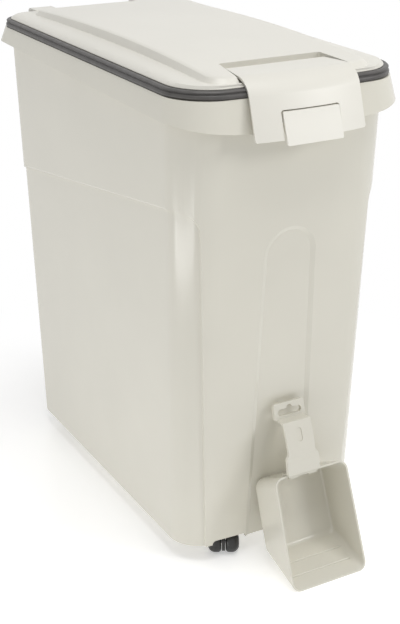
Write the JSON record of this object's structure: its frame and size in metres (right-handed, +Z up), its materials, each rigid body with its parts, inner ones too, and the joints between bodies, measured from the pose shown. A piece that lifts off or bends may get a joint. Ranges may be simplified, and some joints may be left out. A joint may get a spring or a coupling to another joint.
{
  "type": "pet food storage container",
  "caption": "Tall slim wheeled bin for dry pet food with a hinged sealed lid, a fold-over front latch with a pull tab, swivel casters and a clip-handled scoop.",
  "frame": {"origin": "on the floor under the bin, on its plane of symmetry, midway along the rim's depth", "axes": "+Z up, -Y towards the latch and the scoop, X across the bin"},
  "size_m": [0.278, 0.5783, 0.5788],
  "materials": {
    "bin_plastic": "glossy warm ivory moulding",
    "lid_plastic": "satin warm white moulding",
    "seal_rubber": "dark grey soft seal",
    "caster_plastic": "black moulded housing",
    "wheel_plastic": "black moulded wheel",
    "steel": "plain zinc plated"
  },
  "bodies": {
    "container": {"bin": "bin_plastic", "lid_hinge_pins": "steel", "stem_front_left": "steel", "stem_front_right": "steel", "stem_back_left": "steel", "stem_back_right": "steel"},
    "lid": {"lid": "lid_plastic", "lid_seal": "seal_rubber", "latch_pin": "steel"},
    "latch": {"latch": "lid_plastic", "pull_tab_pin": "steel"},
    "tab": {"pull_tab": "lid_plastic"},
    "caster_front_left": {"housing_front_left": "caster_plastic", "axle_front_left": "steel"},
    "caster_front_right": {"housing_front_right": "caster_plastic", "axle_front_right": "steel"},
    "caster_back_left": {"housing_back_left": "caster_plastic", "axle_back_left": "steel"},
    "caster_back_right": {"housing_back_right": "caster_plastic", "axle_back_right": "steel"},
    "wheel_front_left_a": {"wheel_front_left_a": "wheel_plastic"},
    "wheel_front_left_b": {"wheel_front_left_b": "wheel_plastic"},
    "wheel_front_right_a": {"wheel_front_right_a": "wheel_plastic"},
    "wheel_front_right_b": {"wheel_front_right_b": "wheel_plastic"},
    "wheel_back_left_a": {"wheel_back_left_a": "wheel_plastic"},
    "wheel_back_left_b": {"wheel_back_left_b": "wheel_plastic"},
    "wheel_back_right_a": {"wheel_back_right_a": "wheel_plastic"},
    "wheel_back_right_b": {"wheel_back_right_b": "wheel_plastic"},
    "scoop": {"scoop_bucket": "bin_plastic", "scoop_handle": "bin_plastic"}
  },
  "joints": [
    {"name": "lid_hinge", "type": "hinge", "parent": "container", "child": "lid", "pos_m": [0, 0.26, 0.556], "axis": [-1, 0, 0], "range_deg": [0, 105]},
    {"name": "latch_hinge", "type": "hinge", "parent": "lid", "child": "latch", "pos_m": [0, -0.194, 0.5675], "axis": [-1, 0, 0], "range_deg": [0, 95]},
    {"name": "tab_pull", "type": "hinge", "parent": "latch", "child": "tab", "pos_m": [0, -0.25952, 0.529], "axis": [-1, 0, 0], "range_deg": [0, 15], "stiffness_Nm_per_rad": 0.05},
    {"name": "swivel_front_left", "type": "hinge", "parent": "container", "child": "caster_front_left", "pos_m": [-0.055, -0.18918, 0.045], "axis": [0, 0, 1], "continuous": true},
    {"name": "swivel_front_right", "type": "hinge", "parent": "container", "child": "caster_front_right", "pos_m": [0.055, -0.18918, 0.045], "axis": [0, 0, 1], "continuous": true},
    {"name": "swivel_back_left", "type": "hinge", "parent": "container", "child": "caster_back_left", "pos_m": [-0.055, 0.189, 0.045], "axis": [0, 0, 1], "continuous": true},
    {"name": "swivel_back_right", "type": "hinge", "parent": "container", "child": "caster_back_right", "pos_m": [0.055, 0.189, 0.045], "axis": [0, 0, 1], "continuous": true},
    {"name": "roll_front_left_a", "type": "hinge", "parent": "caster_front_left", "child": "wheel_front_left_a", "pos_m": [-0.07, -0.19459, 0.0125], "axis": [0.8746, -0.4848, 0], "continuous": true},
    {"name": "roll_front_left_b", "type": "hinge", "parent": "caster_front_left", "child": "wheel_front_left_b", "pos_m": [-0.05163, -0.20477, 0.0125], "axis": [0.8746, -0.4848, 0], "continuous": true},
    {"name": "roll_front_right_a", "type": "hinge", "parent": "caster_front_right", "child": "wheel_front_right_a", "pos_m": [0.04, -0.19459, 0.0125], "axis": [0.8746, -0.4848, 0], "continuous": true},
    {"name": "roll_front_right_b", "type": "hinge", "parent": "caster_front_right", "child": "wheel_front_right_b", "pos_m": [0.05837, -0.20477, 0.0125], "axis": [0.8746, -0.4848, 0], "continuous": true},
    {"name": "roll_back_left_a", "type": "hinge", "parent": "caster_back_left", "child": "wheel_back_left_a", "pos_m": [-0.07, 0.1836, 0.0125], "axis": [0.8746, -0.4848, 0], "continuous": true},
    {"name": "roll_back_left_b", "type": "hinge", "parent": "caster_back_left", "child": "wheel_back_left_b", "pos_m": [-0.05163, 0.17341, 0.0125], "axis": [0.8746, -0.4848, 0], "continuous": true},
    {"name": "roll_back_right_a", "type": "hinge", "parent": "caster_back_right", "child": "wheel_back_right_a", "pos_m": [0.04, 0.1836, 0.0125], "axis": [0.8746, -0.4848, 0], "continuous": true},
    {"name": "roll_back_right_b", "type": "hinge", "parent": "caster_back_right", "child": "wheel_back_right_b", "pos_m": [0.05837, 0.17341, 0.0125], "axis": [0.8746, -0.4848, 0], "continuous": true},
    {"name": "scoop_lift", "type": "slide", "parent": "container", "child": "scoop", "axis": [0, -0.5, 0.866], "range_m": [0, 0.2]}
  ]
}
